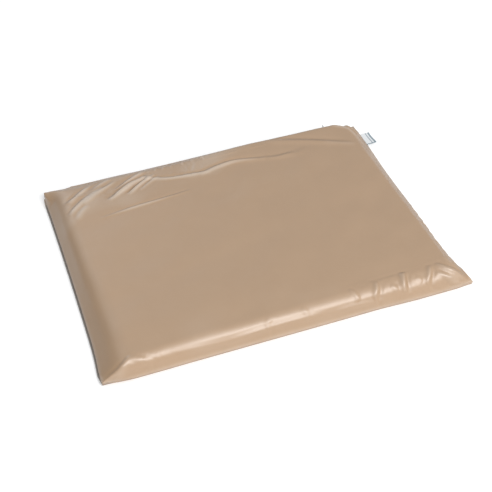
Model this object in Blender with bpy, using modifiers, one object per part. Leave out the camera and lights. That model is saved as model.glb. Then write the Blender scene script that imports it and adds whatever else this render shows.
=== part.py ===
"""Flat foam cushion in a loose, wipe-clean cover with a zip along its back edge.

Frame: metres, +Z up. The origin is the centre of the underside, which lies on z = 0.
+X runs along the long side and +Y points to the zip. The zip lies in the upright back
edge of the cover, and its slider rests at the closed, +X end.
"""

import math

import bmesh
import bpy
from mathutils import Matrix, Vector

# Driving dimensions, in metres
LENGTH = 0.600  # along X, between the seam's corners
DEPTH = 0.450  # along Y, between the seam's corners
THICKNESS = 0.038
FABRIC = 0.0008  # the cover's cloth
GAP = 0.0003  # between solids that touch
THREAD = 0.0004  # sewing thread's diameter

# The foam slab, and the room that the cover leaves round it
SIDE_SLACK = 0.0255
FRONT_SLACK = 0.009
BACK_SLACK = 0.0285
FOAM_EDGE = 0.005  # rounding of its long edges
COVER_CORNER = 0.010  # corner radius that the cover's top edge follows
FOAM_CORNER = 0.016
FOAM_RIGHT = LENGTH / 2 - SIDE_SLACK
FOAM_FRONT = -DEPTH / 2 + FRONT_SLACK
FOAM_BACK = DEPTH / 2 - BACK_SLACK

# The seam where the two panels meet, and how far each side is pulled in between corners
SEAM_TOP = 0.0064  # height of the top panel's edge
SEAM_BOTTOM = 0.0048  # height of the bottom panel's edge
SEAM_ALLOWANCE = 0.003
WALL_LIP = 0.0015  # upright strip of the top panel above the seam
CURL_HEIGHT = 0.0032  # where the bottom panel's edge stands upright
SIDE_PULL = 0.003
FRONT_PULL = 0.001
BACK_PULL = 0.0125

# The zip, in the cover's upright back edge
ZIP_HEIGHT = 0.0135  # of the line where its two halves meet
ZIP_PLANE = DEPTH / 2 - BACK_PULL  # the back edge's outer face
ZIP_HALF = 0.250  # half the tape's length
OPENING_HALF = 0.254  # half the opening's length
OPENING_END = FOAM_RIGHT - COVER_CORNER  # where the panels' edges meet again
RIM_OFFSET = 0.0055  # from the zip's centre line to each panel's edge
ZIP_WALL_TOP = 0.0225  # height of the upright back edge
TAPE_WIDTH = 0.0075
TAPE_THICKNESS = 0.0006
MEETING_GAP = 0.0010  # between the two halves, for the slider's divider
COIL_WIDTH = 0.0027
COIL_DEPTH = 0.0020
COIL_LEFT = -0.2465
COIL_RIGHT = 0.2480
STOP_LENGTH = 0.0020

# The slider and its pull tab
SLIDER_X = 0.240  # its place when the zip is closed
SLIDER_LENGTH = 0.012
SLIDER_HALF_WIDTH = 0.0046
PLATE = 0.0010
TAB_LENGTH = 0.0190
TAB_HALF_WIDTH = 0.0027
TAB_THICKNESS = 0.0010

# The sewn label, a folded ribbon in the right-hand seam
LABEL_Y = 0.1735
LABEL_LENGTH = 0.033
LABEL_REACH = 0.0185  # beyond the seam
RIBBON = 0.0003

TAN = (0.445, 0.309, 0.205)
TAN_UNDER = (0.400, 0.278, 0.185)
BEIGE = (0.50, 0.38, 0.27)
FOAM_CREAM = (0.80, 0.74, 0.58)
ZINC = (0.62, 0.62, 0.63)
LABEL_WHITE = (0.80, 0.81, 0.82)


# Helpers


def clear_scene():
    for old in list(bpy.data.objects):
        bpy.data.objects.remove(old, do_unlink=True)


def collection(name):
    made = bpy.data.collections.new(name)
    bpy.context.scene.collection.children.link(made)
    return made


def material(name, colour, roughness, metallic=0.0):
    made = bpy.data.materials.new(name)
    made.use_nodes = True
    shader = made.node_tree.nodes["Principled BSDF"]
    shader.inputs["Base Color"].default_value = (*colour, 1.0)
    shader.inputs["Roughness"].default_value = roughness
    shader.inputs["Metallic"].default_value = metallic
    made.diffuse_color = (*colour, 1.0)
    return made


def add_object(name, data, group, finish):
    made = bpy.data.objects.new(name, data)
    group.objects.link(made)
    data.materials.append(finish)
    return made


def mesh_from(bm, name):
    bmesh.ops.recalc_face_normals(bm, faces=bm.faces)
    mesh = bpy.data.meshes.new(name)
    bm.to_mesh(mesh)
    bm.free()
    return mesh


def box_into(bm, low, high):
    """Adds a closed box between two corners."""
    centre = [(a + b) / 2 for a, b in zip(low, high)]
    size = [b - a for a, b in zip(low, high)]
    place = Matrix.Translation(centre) @ Matrix.Diagonal((*size, 1.0))
    bmesh.ops.create_cube(bm, size=1.0, matrix=place)


def box_object(name, low, high, group, finish, rounding=0.0):
    bm = bmesh.new()
    box_into(bm, low, high)
    made = add_object(name, mesh_from(bm, name), group, finish)
    if rounding:
        bevel = made.modifiers.new("edges", "BEVEL")
        bevel.width = rounding
        bevel.segments = 2
    return made


def thread_object(name, points, group, finish):
    """A sewing thread along the given points."""
    curve = bpy.data.curves.new(name, "CURVE")
    curve.dimensions = "3D"
    curve.bevel_depth = THREAD / 2
    curve.bevel_resolution = 1
    curve.use_fill_caps = True
    spline = curve.splines.new("POLY")
    spline.points.add(len(points) - 1)
    for point, place in zip(spline.points, points):
        point.co = (*place, 1.0)
    return add_object(name, curve, group, finish)


def ramp(value, low, high):
    """0 at low, 1 at high, smooth between them."""
    t = min(max((value - low) / (high - low), 0.0), 1.0)
    return t * t * (3 - 2 * t)


# The outline that both panels share


class Station:
    """One place on the cover's outline: a point of the seam, the middle of the foam's
    rounded edge facing it, how much of the zip's opening is there, and which way that
    edge faces."""

    def __init__(self, seam, core, opening=0.0, facing=None):
        self.core = Vector(core)
        across = Vector(seam) - self.core
        self.seam_x = seam[0]
        self.opening = opening
        self.reach = across.length
        self.outward = across / self.reach
        self.facing = Vector(facing) if facing else self.outward

    def place(self, distance, height):
        spot = self.core + self.outward * distance
        return (spot.x, spot.y, height)

    def inside(self, distance, height):
        spot = self.core - self.facing * distance
        return (spot.x, spot.y, height)


CORE_RIGHT = FOAM_RIGHT - FOAM_EDGE
CORE_FRONT = FOAM_FRONT + FOAM_EDGE
CORE_BACK = FOAM_BACK - FOAM_EDGE
CORE_CORNER = COVER_CORNER - FOAM_EDGE
STRAIGHT_X = CORE_RIGHT - CORE_CORNER
STRAIGHT_FRONT = CORE_FRONT + CORE_CORNER
STRAIGHT_BACK = CORE_BACK - CORE_CORNER
CORNER_STEPS = 6
EDGE_STEPS = 4  # round the foam's top edge
EAR_POWER = 0.2  # the lower, the sharper the cover's corners
FLAT_BORDER = 0.004  # a flat strip round each panel's flat face, which keeps its cloth even


def front_back_station(x, back):
    if back:
        seam_y = ZIP_PLANE
        core_y = CORE_BACK
    else:
        seam_y = -DEPTH / 2 + FRONT_PULL * (1 - (x / STRAIGHT_X) ** 4)
        core_y = CORE_FRONT
    opening = (1 - ramp(abs(x), OPENING_HALF, OPENING_END)) if back else 0.0
    return Station((x, seam_y), (x, core_y), opening)


def side_station(side, y):
    middle = (STRAIGHT_FRONT + STRAIGHT_BACK) / 2
    along = (y - middle) / (STRAIGHT_BACK - middle)
    seam_x = LENGTH / 2 - SIDE_PULL * (1 - along**4)
    return Station((side * seam_x, y), (side * CORE_RIGHT, y))


def corner_stations(side, back):
    """From the long side round the ear to the short side."""
    sign_y = 1 if back else -1
    straight_y = STRAIGHT_BACK if back else STRAIGHT_FRONT
    pull = BACK_PULL if back else 0.0
    found = []
    for step in range(CORNER_STEPS + 1):
        angle = math.pi / 2 * step / CORNER_STEPS
        sine = math.sin(angle)
        cosine = math.cos(angle) if step < CORNER_STEPS else 0.0
        seam_x = STRAIGHT_X + (LENGTH / 2 - STRAIGHT_X) * sine**EAR_POWER
        depth = DEPTH / 2 - abs(straight_y)
        seam_y = abs(straight_y) + depth * cosine**EAR_POWER - pull * (1 - sine) ** 2
        core_x = STRAIGHT_X + CORE_CORNER * sine
        core_y = straight_y + sign_y * CORE_CORNER * cosine
        seam = (side * seam_x, sign_y * seam_y)
        found.append(Station(seam, (side * core_x, core_y), 0.0, (side * sine, sign_y * cosine)))
    return found


def spread(low, high, count):
    """Evenly spaced values strictly between two limits."""
    return [low + (high - low) * (i + 1) / (count + 1) for i in range(count)]


def outline():
    """Stations round the cover, anticlockwise from the front left ear."""
    front_xs = spread(-STRAIGHT_X, STRAIGHT_X, 9)
    back_xs = [OPENING_HALF, *reversed(spread(-OPENING_HALF, OPENING_HALF, 9)), -OPENING_HALF]
    side_ys = spread(STRAIGHT_FRONT, STRAIGHT_BACK, 7)
    found = list(reversed(corner_stations(-1, False)))
    found += [front_back_station(x, False) for x in front_xs]
    found += corner_stations(1, False)
    found += [side_station(1, y) for y in side_ys]
    found += list(reversed(corner_stations(1, True)))
    found += [front_back_station(x, True) for x in back_xs]
    found += corner_stations(-1, True)
    found += [side_station(-1, y) for y in reversed(side_ys)]
    return found


def loft_panel(columns):
    """An open cup: columns of points from the rim inwards, closed by one flat face."""
    bm = bmesh.new()
    rows = [[bm.verts.new(point) for point in column] for column in columns]
    for i, row in enumerate(rows):
        following = rows[(i + 1) % len(rows)]
        for j in range(len(row) - 1):
            bm.faces.new((row[j], following[j], following[j + 1], row[j + 1]))
    bm.faces.new([row[-1] for row in rows])
    return bm


# The sub-parts


def foam_core(group):
    bm = bmesh.new()
    low = (-FOAM_RIGHT, FOAM_FRONT, FABRIC + GAP)
    high = (FOAM_RIGHT, FOAM_BACK, THICKNESS - FABRIC - GAP)
    box_into(bm, low, high)
    upright = [e for e in bm.edges if abs(e.verts[0].co.z - e.verts[1].co.z) > GAP]
    bmesh.ops.bevel(bm, geom=upright, offset=FOAM_CORNER, segments=5, profile=0.5, affect="EDGES")
    finish = material("foam", FOAM_CREAM, 0.95)
    made = add_object("foam_core", mesh_from(bm, "foam_core"), group, finish)
    bevel = made.modifiers.new("edges", "BEVEL")
    bevel.width = FOAM_EDGE
    bevel.segments = 3
    bevel.limit_method = "ANGLE"
    bevel.angle_limit = math.radians(40)


def top_column(station):
    """From the seam, or the zip's edge, up the wall and over the foam's top edge."""
    radius = FOAM_EDGE + GAP + FABRIC
    rim = SEAM_TOP + (ZIP_HEIGHT + RIM_OFFSET - SEAM_TOP) * station.opening
    lip = SEAM_TOP + WALL_LIP
    wall = lip + (ZIP_WALL_TOP - lip) * station.opening
    centre_height = THICKNESS - radius
    across = math.hypot(station.reach, wall - centre_height)
    leaning = math.atan2(wall - centre_height, station.reach)
    start = leaning + math.acos(radius / across)
    points = [station.place(station.reach, rim), station.place(station.reach, wall)]
    for i in range(EDGE_STEPS + 1):
        angle = start + (math.pi / 2 - start) * i / EDGE_STEPS
        distance = radius * math.cos(angle)
        points.append(station.place(distance, centre_height + radius * math.sin(angle)))
    points.append(station.inside(FLAT_BORDER, THICKNESS))
    return points


def bottom_column(station):
    """From the seam, or the zip's edge, down to the flat underside."""
    rim = SEAM_BOTTOM + (ZIP_HEIGHT - RIM_OFFSET - SEAM_BOTTOM) * station.opening
    flat = station.reach - 1.25 * CURL_HEIGHT
    return [
        station.place(station.reach, rim),
        station.place(station.reach, CURL_HEIGHT),
        station.place(station.reach - 0.3 * CURL_HEIGHT, 0.35 * CURL_HEIGHT),
        station.place(flat, 0.0),
        station.place(flat - FLAT_BORDER, 0.0),
    ]


def cover_panel(name, column, colour, stations, group):
    bm = loft_panel([column(station) for station in stations])
    finish = material(name, colour, 0.45)
    made = add_object(name, mesh_from(bm, name), group, finish)
    flat_face = made.data.polygons[-1]
    if flat_face.normal.z * (flat_face.center.z - THICKNESS / 2) < 0:
        made.data.flip_normals()
    shell = made.modifiers.new("cloth", "SOLIDIFY")
    shell.thickness = FABRIC
    shell.offset = -1.0
    shell.use_even_offset = True


def seam_thread(stations, group):
    """One line of stitches round the front and the sides, up to both ends of the zip."""
    open_at = [i for i, station in enumerate(stations) if station.opening > 0]
    start = open_at[0]
    end = open_at[-1]
    order = stations[end + 1 :] + stations[:start]
    height = (SEAM_TOP + SEAM_BOTTOM) / 2
    points = [s.place(s.reach - SEAM_ALLOWANCE, height) for s in order]
    thread_object("seam_thread", points, group, material("seam_thread", BEIGE, 0.7))


def zip_half(side, group):
    """One half of the zip, above (side 1) or below (side -1) its centre line: the tape,
    its coil, and the stitches that hold it to the panel."""
    word = "upper" if side > 0 else "lower"
    meeting = ZIP_HEIGHT + side * MEETING_GAP / 2
    tape_face = ZIP_PLANE - FABRIC - GAP
    coil_back = tape_face + GAP
    tape_zs = sorted((meeting, meeting + side * TAPE_WIDTH))
    coil_zs = sorted((meeting, meeting + side * COIL_WIDTH))
    box_object(
        f"zip_tape_{word}",
        (-ZIP_HALF, tape_face - TAPE_THICKNESS, tape_zs[0]),
        (ZIP_HALF, tape_face, tape_zs[1]),
        group,
        material(f"zip_tape_{word}", BEIGE, 0.8),
    )
    box_object(
        f"zip_coil_{word}",
        (COIL_LEFT, coil_back, coil_zs[0]),
        (COIL_RIGHT, coil_back + COIL_DEPTH, coil_zs[1]),
        group,
        material(f"zip_coil_{word}", BEIGE, 0.45),
        rounding=0.0006,
    )
    box_object(
        f"zip_top_stop_{word}",
        (COIL_RIGHT + GAP, coil_back, coil_zs[0]),
        (COIL_RIGHT + GAP + STOP_LENGTH, coil_back + COIL_DEPTH + GAP, coil_zs[1]),
        group,
        material(f"zip_top_stop_{word}", ZINC, 0.35, 1.0),
        rounding=0.0004,
    )
    stitch_z = ZIP_HEIGHT + side * (RIM_OFFSET + 0.0017)
    stitch_y = ZIP_PLANE + GAP + THREAD / 2
    ends = [(-ZIP_HALF, stitch_y, stitch_z), (ZIP_HALF, stitch_y, stitch_z)]
    finish = material(f"zip_stitching_{word}", BEIGE, 0.7)
    thread_object(f"zip_stitching_{word}", ends, group, finish)


def zip_bottom_stop(group):
    back = ZIP_PLANE - FABRIC
    reach = MEETING_GAP / 2 + COIL_WIDTH
    box_object(
        "zip_bottom_stop",
        (COIL_LEFT - GAP - STOP_LENGTH, back, ZIP_HEIGHT - reach),
        (COIL_LEFT - GAP, back + COIL_DEPTH + GAP, ZIP_HEIGHT + reach),
        group,
        material("zip_bottom_stop", ZINC, 0.35, 1.0),
        rounding=0.0004,
    )


# Faces of the slider, measured along Y
COIL_FRONT = ZIP_PLANE - FABRIC + COIL_DEPTH
OUTER_BACK = COIL_FRONT + 0.0004
OUTER_FRONT = OUTER_BACK + PLATE
INNER_FRONT = ZIP_PLANE - FABRIC - GAP - TAPE_THICKNESS - 0.0004
PIVOT_Y = OUTER_FRONT + 0.0010
BRIDGE_HALF = 0.0036
BRIDGE_RISE = 0.0020  # from the slider's face to the underside of its bridge


def zip_slider(mover, group, cutters):
    """Two plates joined by a thin divider, with folded-in edges and a bridge for the tab.
    Its pieces are laid out about the slider's own centre, then joined."""
    half = SLIDER_LENGTH / 2
    width = SLIDER_HALF_WIDTH
    lap = 0.0002  # how far joined pieces run into each other
    pieces = {
        "inner_plate": ((-half, INNER_FRONT - PLATE, -width), (half, INNER_FRONT, width)),
        "divider": ((0.002, INNER_FRONT - lap, -0.0002), (0.005, OUTER_BACK + lap, 0.0002)),
        "upper_edge": (
            (-half, OUTER_BACK - 0.0021, width - PLATE),
            (half, OUTER_BACK + lap, width),
        ),
        "lower_edge": (
            (-half, OUTER_BACK - 0.0021, -width),
            (half, OUTER_BACK + lap, -width + PLATE),
        ),
        "front_leg": (
            (BRIDGE_HALF - PLATE, OUTER_FRONT - lap, -0.0009),
            (BRIDGE_HALF, OUTER_FRONT + BRIDGE_RISE + lap, 0.0009),
        ),
        "rear_leg": (
            (-BRIDGE_HALF, OUTER_FRONT - lap, -0.0009),
            (-BRIDGE_HALF + PLATE, OUTER_FRONT + BRIDGE_RISE + lap, 0.0009),
        ),
        "bridge": (
            (-BRIDGE_HALF, OUTER_FRONT + BRIDGE_RISE, -0.0009),
            (BRIDGE_HALF, OUTER_FRONT + BRIDGE_RISE + PLATE, 0.0009),
        ),
    }
    finish = material("zip_slider", ZINC, 0.35, 1.0)
    low = (-half, OUTER_BACK, -width)
    high = (half, OUTER_FRONT, width)
    made = box_object("zip_slider", low, high, group, finish)
    made.parent = mover
    for name, (low, high) in pieces.items():
        tool = box_object(f"slider_{name}", low, high, cutters, finish)
        tool.parent = mover
        tool.hide_render = True
        tool.display_type = "WIRE"
        union = made.modifiers.new(name, "BOOLEAN")
        union.operation = "UNION"
        union.solver = "EXACT"
        union.object = tool


def zip_pull_tab(pivot, group):
    """A flat plate that points along +Y, with a window that the slider's bridge fills."""
    curve = bpy.data.curves.new("zip_pull_tab", "CURVE")
    curve.dimensions = "2D"
    curve.fill_mode = "BOTH"
    curve.extrude = TAB_THICKNESS / 2
    end = TAB_LENGTH - TAB_HALF_WIDTH
    round_end = [
        (end + TAB_HALF_WIDTH * math.cos(a), TAB_HALF_WIDTH * math.sin(a))
        for a in (math.radians(-90 + 30 * i) for i in range(7))
    ]
    bar = TAB_THICKNESS / 2
    plate = [(-bar, -TAB_HALF_WIDTH), *round_end, (-bar, TAB_HALF_WIDTH)]
    window_end = math.hypot(BRIDGE_HALF, BRIDGE_RISE) + TAB_THICKNESS / 2
    window = [(bar, -0.0014), (window_end, -0.0014), (window_end, 0.0014), (bar, 0.0014)]
    for loop in (plate, window):
        spline = curve.splines.new("POLY")
        spline.points.add(len(loop) - 1)
        spline.use_cyclic_u = True
        for point, (along, across) in zip(spline.points, loop):
            point.co = (along, across, 0.0, 1.0)
    made = add_object("zip_pull_tab", curve, group, material("zip_pull_tab", ZINC, 0.3, 1.0))
    made.parent = pivot
    made.rotation_euler = (math.radians(90), 0.0, math.radians(90))


def sewn_label(group):
    """A ribbon folded on itself, held between the two panels."""
    seam_x = side_station(1, LABEL_Y).seam_x
    height = (SEAM_TOP + SEAM_BOTTOM) / 2
    half_gap = (RIBBON + GAP) / 2
    fold_x = seam_x + LABEL_REACH - half_gap
    fold = [
        (fold_x + half_gap * math.cos(a), height + half_gap * math.sin(a))
        for a in (math.radians(90 - 45 * i) for i in range(5))
    ]
    tail_x = seam_x - 0.0012
    path = [(tail_x, height + half_gap), *fold, (tail_x, height - half_gap)]
    bm = bmesh.new()
    ends = [LABEL_Y - LABEL_LENGTH / 2, LABEL_Y + LABEL_LENGTH / 2]
    rows = [[bm.verts.new((x, y, z)) for x, z in path] for y in ends]
    for j in range(len(path) - 1):
        bm.faces.new((rows[0][j], rows[1][j], rows[1][j + 1], rows[0][j + 1]))
    finish = material("sewn_label", LABEL_WHITE, 0.7)
    made = add_object("sewn_label", mesh_from(bm, "sewn_label"), group, finish)
    shell = made.modifiers.new("ribbon", "SOLIDIFY")
    shell.thickness = RIBBON
    shell.offset = 0.0


def empty_at(name, place, group, parent=None):
    made = bpy.data.objects.new(name, None)
    made.location = place
    made.parent = parent
    group.objects.link(made)
    return made


def main():
    clear_scene()
    group = collection("face_cradle_cushion")
    cutters = collection("slider_pieces")
    stations = outline()
    foam_core(group)
    cover_panel("cover_top_panel", top_column, TAN, stations, group)
    cover_panel("cover_bottom_panel", bottom_column, TAN_UNDER, stations, group)
    seam_thread(stations, group)
    for side in (1, -1):
        zip_half(side, group)
    zip_bottom_stop(group)
    # The slider moves along X from here, and its tab turns about an upright axis
    slider_place = empty_at("slider_place", (SLIDER_X, 0.0, ZIP_HEIGHT), group)
    tab_pivot = empty_at("tab_pivot", (0.0, PIVOT_Y, 0.0), group, slider_place)
    zip_slider(slider_place, group, cutters)
    zip_pull_tab(tab_pivot, group)
    sewn_label(group)


main()
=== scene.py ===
"""Looks of a flat massage-table cushion: a foam slab in a loose, wipe-clean zipped cover.

Everything is in metres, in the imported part's own frame: +Z up, the underside on z = 0,
+X along the long side and +Y towards the zip. The places of all pieces come from the
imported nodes' boxes. Sections: frame, materials, cover, foam, zip, label, stage.
"""

import math

import bmesh
import bpy
import numpy as np
from mathutils import Matrix, Vector


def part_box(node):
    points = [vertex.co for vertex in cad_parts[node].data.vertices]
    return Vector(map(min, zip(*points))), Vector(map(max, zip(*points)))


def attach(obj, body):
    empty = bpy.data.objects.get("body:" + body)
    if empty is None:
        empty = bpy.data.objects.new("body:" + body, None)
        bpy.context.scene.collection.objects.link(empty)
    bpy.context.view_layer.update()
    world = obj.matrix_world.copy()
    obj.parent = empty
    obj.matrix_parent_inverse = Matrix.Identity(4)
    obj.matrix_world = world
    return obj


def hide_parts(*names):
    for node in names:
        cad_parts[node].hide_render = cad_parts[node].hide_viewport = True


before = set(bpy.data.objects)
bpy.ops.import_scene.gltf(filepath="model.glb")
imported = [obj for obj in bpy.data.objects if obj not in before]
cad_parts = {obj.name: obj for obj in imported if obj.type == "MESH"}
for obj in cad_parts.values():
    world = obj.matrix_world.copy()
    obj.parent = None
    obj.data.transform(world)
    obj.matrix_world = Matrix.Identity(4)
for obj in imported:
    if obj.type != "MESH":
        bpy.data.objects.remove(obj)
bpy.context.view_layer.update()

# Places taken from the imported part

panel_low, panel_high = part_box("cover_top_panel")
foam_low, foam_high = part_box("foam_core")
tape_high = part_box("zip_tape_upper")[1]
upper_coil_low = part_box("zip_coil_upper")[0]
lower_coil_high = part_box("zip_coil_lower")[1]
slider_low, slider_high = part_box("zip_slider")
tab_low, tab_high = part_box("zip_pull_tab")
label_low, label_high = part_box("sewn_label")
thread_low, thread_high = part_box("seam_thread")

CLOTH = 0.0008  # thickness of the cover's cloth
GAP = 0.0003  # between pieces that touch
HALF_LENGTH = panel_high.x
HALF_DEPTH = panel_high.y
TOP = panel_high.z
SEAM_TOP = panel_low.z  # height of the top panel's edge
SEAM_MIDDLE = (thread_low.z + thread_high.z) / 2
SEAM_BOTTOM = 2 * SEAM_MIDDLE - SEAM_TOP
ZIP_HEIGHT = (upper_coil_low.z + lower_coil_high.z) / 2
ZIP_PLANE = tape_high.y + GAP + CLOTH  # outer face of the cover's upright back edge
RIM_OFFSET = 0.0055  # from the zip's centre line to each panel's edge
OPENING_HALF = tape_high.x + 0.001
OPENING_END = foam_high.x - 0.0075


# Helpers


def ramp(value, low, high):
    """0 at low, 1 at high, smooth between them. Works on arrays."""
    t = np.clip((np.asarray(value, float) - low) / (high - low), 0.0, 1.0)
    return t * t * (3 - 2 * t)


def bump(value, centre, width):
    """1 at the centre, falling smoothly to 0 over the width on both sides."""
    return np.exp(-(((np.asarray(value, float) - centre) / width) ** 2))


def blend(weight, first, second):
    """Pairs of arrays: the first pair at weight 0, the second at 1."""
    return [(1 - weight) * a + weight * b for a, b in zip(first, second)]


def assign(target, **values):
    for name, value in values.items():
        setattr(target, name, value)
    return target


def link(name, data):
    made = bpy.data.objects.new(name, data)
    bpy.context.scene.collection.objects.link(made)
    return made


def mesh_object(name, points, faces, finish):
    mesh = bpy.data.meshes.new(name)
    mesh.from_pydata([tuple(p) for p in points], [], faces)
    mesh.materials.append(finish)
    mesh.shade_smooth()
    return link(name, mesh)


def taken_from(bm):
    """The points and faces of a finished bmesh, which is then freed."""
    bmesh.ops.recalc_face_normals(bm, faces=bm.faces)
    bm.verts.ensure_lookup_table()
    made = [tuple(v.co) for v in bm.verts], [tuple(v.index for v in f.verts) for f in bm.faces]
    bm.free()
    return made


def modifier(obj, kind, **settings):
    return assign(obj.modifiers.new(kind.lower(), kind), **settings)


def thicken(obj, thickness, offset):
    modifier(obj, "SOLIDIFY", thickness=thickness, offset=offset, use_even_offset=False)


def add_attribute(obj, name, values):
    made = obj.data.attributes.new(name, "FLOAT", "POINT")
    made.data.foreach_set("value", np.asarray(values, np.float32))


def numbered(count_x, count_y):
    """The numbers of a grid's points."""
    return np.arange(count_x * count_y).reshape(count_x, count_y)


def grid_faces(index):
    quads = np.stack((index[:-1, :-1], index[1:, :-1], index[1:, 1:], index[:-1, 1:]), axis=-1)
    return [tuple(q) for q in quads.reshape(-1, 4).tolist()]


def unit(vectors):
    """The same vectors, each at length 1."""
    length = np.linalg.norm(vectors, axis=-1, keepdims=True)
    return vectors / np.maximum(length, 1e-12)


def place(obj, body, slot, *nodes):
    """The piece rides on a body and stands for CAD nodes; slot is not used."""
    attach(obj, body)
    if nodes:
        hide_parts(*nodes)
    return obj


def waves(x, y, seed, size, count=9):
    """A smooth random surface, about -1 to 1, with bumps of about the given size."""
    rng = np.random.default_rng(seed)
    total = np.zeros_like(x)
    for _ in range(count):
        angle = rng.uniform(0, 2 * math.pi)
        length = size * rng.uniform(0.7, 1.5)
        phase = rng.uniform(0, 2 * math.pi)
        along = x * math.cos(angle) + y * math.sin(angle)
        total += np.sin(2 * math.pi * along / length + phase)
    return total / math.sqrt(count)


# Materials


class Nodes:
    """A material's node tree, with short calls to add nodes and links."""

    def __init__(self, name, colour, roughness, **inputs):
        self.material = bpy.data.materials.new(name)
        self.material.use_nodes = True
        self.material.diffuse_color = (*colour, 1.0)
        self.tree = self.material.node_tree
        self.shader = self.tree.nodes["Principled BSDF"]
        self.set(self.shader, Base_Color=(*colour, 1.0), Roughness=roughness, **inputs)
        self.place = self.add("ShaderNodeTexCoord").outputs["Object"]

    def set(self, node, **values):
        """Sets a node's inputs, with _ for each space in their names."""
        for name, value in values.items():
            node.inputs[name.replace("_", " ")].default_value = value
        return node

    def add(self, kind, **settings):
        return assign(self.tree.nodes.new(kind), **settings)

    def join(self, output, node, name):
        self.tree.links.new(output, node.inputs[name])

    def texture(self, kind, output, inputs, **settings):
        """A procedural texture in the object's own coordinates."""
        node = self.set(self.add(kind, **settings), **inputs)
        self.join(self.place, node, "Vector")
        return node.outputs[output]

    def noise(self, scale, detail=2.0, roughness=0.5):
        inputs = dict(Scale=scale, Detail=detail, Roughness=roughness)
        return self.texture("ShaderNodeTexNoise", "Fac", inputs)

    def stripes(self, scale, direction):
        return self.texture("ShaderNodeTexWave", "Fac", dict(Scale=scale), bands_direction=direction)

    def math(self, operation, a, b):
        node = self.add("ShaderNodeMath", operation=operation)
        for i, value in enumerate((a, b)):
            if isinstance(value, (int, float)):
                node.inputs[i].default_value = value
            else:
                self.tree.links.new(value, node.inputs[i])
        return node.outputs[0]

    def times(self, a, b):
        return self.math("MULTIPLY", a, b)

    def attribute(self, name):
        return self.add("ShaderNodeAttribute", attribute_name=name).outputs["Fac"]

    def facing(self, blend):
        """0 where the surface faces the viewer, rising to 1 at its outline."""
        return self.set(self.add("ShaderNodeLayerWeight"), Blend=blend).outputs["Facing"]

    def range(self, value, low, high):
        node = self.set(self.add("ShaderNodeMapRange"), To_Min=low, To_Max=high)
        self.join(value, node, "Value")
        return node.outputs["Result"]

    def mix(self, factor, a, b):
        node = self.add("ShaderNodeMix", data_type="RGBA")
        self.tree.links.new(factor, node.inputs["Factor"])
        for socket, value in ((node.inputs[6], a), (node.inputs[7], b)):
            if isinstance(value, tuple):
                socket.default_value = (*value, 1.0)
            else:
                self.tree.links.new(value, socket)
        return node.outputs[2]

    def colour(self, output):
        self.join(output, self.shader, "Base Color")

    def relief(self, height, distance, strength, below=None):
        node = self.set(self.add("ShaderNodeBump"), Strength=strength, Distance=distance)
        self.join(height, node, "Height")
        if below is not None:
            self.join(below, node, "Normal")
        return node.outputs["Normal"]

    def surface(self, *relief):
        self.join(self.relief(*relief), self.shader, "Normal")


def shade(colour, factor):
    return tuple(min(1.0, c * factor) for c in colour)


TAN = (0.370, 0.231, 0.125)
CREASE_SHEEN = (0.53, 0.435, 0.345)  # painted sheen: lighter, greyer colour on the ridges of creases
EDGE_SHEEN = (0.55, 0.42, 0.31)  # painted sheen: lighter, greyer colour along the seam and over the front edge
LEFT_SHADOW = (0.085, 0.075, 0.062)  # painted shadow: the dark line along the left edge's underside


def cover_cloth(name, colour):
    """Soft polyurethane-coated cloth: satin, with a fine knit showing through the coating."""
    n = Nodes(name, colour, 0.45, IOR=1.62, Sheen_Weight=0.10, Sheen_Roughness=0.45)
    n.set(n.shader, Sheen_Tint=(0.90, 0.93, 1.0, 1.0))
    cloudy = n.noise(7.0, 3.0, 0.55)
    blotchy = n.noise(38.0, 3.0, 0.6)
    speckle = n.noise(900.0, 2.0, 0.6)
    base = n.mix(cloudy, shade(colour, 0.955), shade(colour, 1.04))
    fine = n.mix(blotchy, shade(colour, 0.97), shade(colour, 1.03))
    both = n.mix(speckle, base, fine)
    # painted sheen along the seam and over the front edge
    edge_sheen = n.times(n.attribute("edge_sheen"), n.range(blotchy, 0.25, 0.75))
    # painted sheen on the ridges of creases
    crease_sheen = n.times(n.attribute("crease_sheen"), n.range(speckle, 0.55, 0.95))
    # seen at a low angle, the knit under the coating looks deeper and less glossy
    grazing = n.math("POWER", n.facing(0.5), 3.0)
    # painted sheen from the seam, the front edge and the creases
    painted_light = n.mix(crease_sheen, n.mix(edge_sheen, both, EDGE_SHEEN), CREASE_SHEEN)
    # painted shadow along the left edge's underside
    painted_light = n.mix(n.attribute("left_shadow"), painted_light, LEFT_SHADOW)
    n.colour(n.mix(grazing, painted_light, shade(colour, 0.62)))
    n.join(n.range(grazing, 0.95, 0.2), n.shader, "Specular IOR Level")
    gloss = n.range(n.times(n.math("ADD", cloudy, blotchy), 0.5), 0.38, 0.52)
    n.join(gloss, n.shader, "Roughness")
    knit = n.times(n.stripes(420.0, "X"), n.stripes(420.0, "Y"))
    skin = n.relief(knit, 0.00003, 0.5)
    n.surface(n.noise(55.0, 4.0, 0.5), 0.0007, 0.35, skin)
    return n.material


def foam_material():
    n = Nodes("foam_cells", (0.80, 0.73, 0.55), 0.95)
    cells = n.texture("ShaderNodeTexVoronoi", "Distance", dict(Scale=700.0))
    n.colour(n.mix(cells, (0.70, 0.62, 0.44), (0.86, 0.80, 0.63)))
    n.surface(cells, 0.0005, 0.8)
    return n.material


def woven(name, colour, across, along):
    """A woven ribbon: fine ribs in two directions."""
    n = Nodes(name, colour, 0.8, Sheen_Weight=0.2, Sheen_Roughness=0.5)
    weave = n.times(n.stripes(across, "X"), n.stripes(along, "Z"))
    tone = n.times(weave, n.range(n.noise(160.0), 0.7, 1.0))
    n.colour(n.mix(tone, shade(colour, 0.72), shade(colour, 1.08)))
    n.surface(weave, 0.00012, 0.8)
    return n.material


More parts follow.
